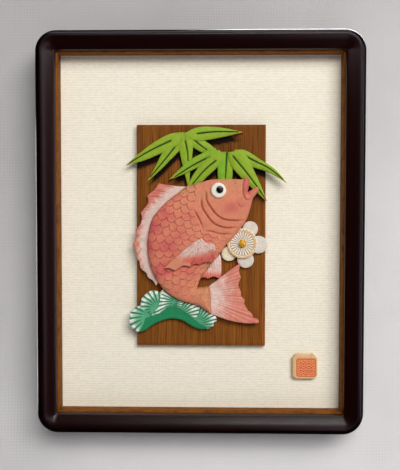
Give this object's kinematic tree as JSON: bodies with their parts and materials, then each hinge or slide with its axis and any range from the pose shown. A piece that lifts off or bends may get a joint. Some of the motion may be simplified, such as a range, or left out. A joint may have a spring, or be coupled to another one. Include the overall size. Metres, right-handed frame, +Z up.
{
  "type": "framed relief carving",
  "caption": "Framed wall carving of a sea bream with bamboo, plum blossom and pine on a wooden plank, on a cloth-covered mat in a rounded lacquered frame with hanging rings.",
  "frame": {"origin": "middle of the frame on the wall plane, which is the hindmost plane of the hanging hardware", "axes": "+X to the viewer's right, +Y into the wall, so the front faces -Y, +Z up"},
  "size_m": [0.27, 0.0343, 0.332],
  "materials": {
    "frame_lacquer": "dark urushi-style lacquer over carved wood, satin to semi-gloss",
    "liner_stain": "brown stained wood strip, matt",
    "plain_wood": "plain unfinished wood or plywood",
    "mat_linen": "cream slub-weave cloth glued to the mat board",
    "hardboard": "brown hardboard, smooth",
    "plank_stain": "brown stained straight-grained wood, matt",
    "bamboo_green": "carved wood, stained yellow-green with dark green cut midribs",
    "pine_green": "carved wood, stained deep green with white-painted needle ridges",
    "fish_coral": "carved wood, stained coral red and tan, scale lines cut in",
    "fin_pink": "carved wood, whitened at the root and stained pink at the edge",
    "petal_white": "carved wood painted white, matt",
    "bead_gold": "gold painted bead, semi-gloss",
    "eye_white": "white painted wood disc, satin",
    "pupil_black": "black glossy dome",
    "seal_wood": null,
    "brassed_steel": "brass-plated steel, slightly dull",
    "zinced_steel": "zinc-plated steel wire and strip"
  },
  "bodies": {
    "frame": {"back_board": "hardboard", "bamboo_far_spray": "bamboo_green", "bamboo_near_spray": "bamboo_green", "button_screw_bottom_left": "brassed_steel", "button_screw_bottom_right": "brassed_steel", "button_screw_left": "brassed_steel", "button_screw_right": "brassed_steel", "button_screw_top_left": "brassed_steel", "button_screw_top_right": "brassed_steel", "carving_plank": "plank_stain", "corner_key_bottom_left": "plain_wood", "corner_key_bottom_right": "plain_wood", "corner_key_top_left": "plain_wood", "corner_key_top_right": "plain_wood", "dorsal_fin": "fin_pink", "eye_pupil": "pupil_black", "eye_white": "eye_white", "fish_body": "fish_coral", "hanger_screw_left": "zinced_steel", "hanger_screw_right": "zinced_steel", "hanger_strap_left": "zinced_steel", "hanger_strap_right": "zinced_steel", "liner_bottom": "liner_stain", "liner_left": "liner_stain", "liner_right": "liner_stain", "liner_top": "liner_stain", "mat_board": "plain_wood", "mat_cloth": "mat_linen", "pectoral_fin": "fin_pink", "pelvic_fin": "fin_pink", "pine_branch": "pine_green", "plank_screw_lower": "zinced_steel", "plank_screw_upper": "zinced_steel", "plum_bead": "bead_gold", "plum_petals": "petal_white", "plum_stamens": "petal_white", "rail_bottom": "frame_lacquer", "rail_left": "frame_lacquer", "rail_right": "frame_lacquer", "rail_top": "frame_lacquer", "seal_tile": "seal_wood", "tail_fin": "fin_pink"},
    "button_bottom_left": {"turn_button_bottom_left": "brassed_steel"},
    "button_bottom_right": {"turn_button_bottom_right": "brassed_steel"},
    "button_top_left": {"turn_button_top_left": "brassed_steel"},
    "button_top_right": {"turn_button_top_right": "brassed_steel"},
    "button_left": {"turn_button_left": "brassed_steel"},
    "button_right": {"turn_button_right": "brassed_steel"},
    "ring_left": {"hanger_ring_left": "zinced_steel"},
    "ring_right": {"hanger_ring_right": "zinced_steel"}
  },
  "joints": [
    {"name": "turn_bottom_left", "type": "hinge", "parent": "frame", "child": "button_bottom_left", "pos_m": [-0.065, -0.0035, -0.159], "axis": [0, 1, 0], "continuous": true},
    {"name": "turn_bottom_right", "type": "hinge", "parent": "frame", "child": "button_bottom_right", "pos_m": [0.065, -0.0035, -0.159], "axis": [0, 1, 0], "continuous": true},
    {"name": "turn_top_left", "type": "hinge", "parent": "frame", "child": "button_top_left", "pos_m": [-0.065, -0.0035, 0.159], "axis": [0, 1, 0], "continuous": true},
    {"name": "turn_top_right", "type": "hinge", "parent": "frame", "child": "button_top_right", "pos_m": [0.065, -0.0035, 0.159], "axis": [0, 1, 0], "continuous": true},
    {"name": "turn_left", "type": "hinge", "parent": "frame", "child": "button_left", "pos_m": [-0.128, -0.0035, -0.02], "axis": [0, 1, 0], "continuous": true},
    {"name": "turn_right", "type": "hinge", "parent": "frame", "child": "button_right", "pos_m": [0.128, -0.0035, -0.02], "axis": [0, 1, 0], "continuous": true},
    {"name": "swing_ring_left", "type": "hinge", "parent": "frame", "child": "ring_left", "pos_m": [-0.122, -0.002, 0.07], "axis": [0, 0, 1], "range_deg": [0, 180]},
    {"name": "swing_ring_right", "type": "hinge", "parent": "frame", "child": "ring_right", "pos_m": [0.122, -0.002, 0.07], "axis": [0, 0, -1], "range_deg": [0, 180]}
  ]
}
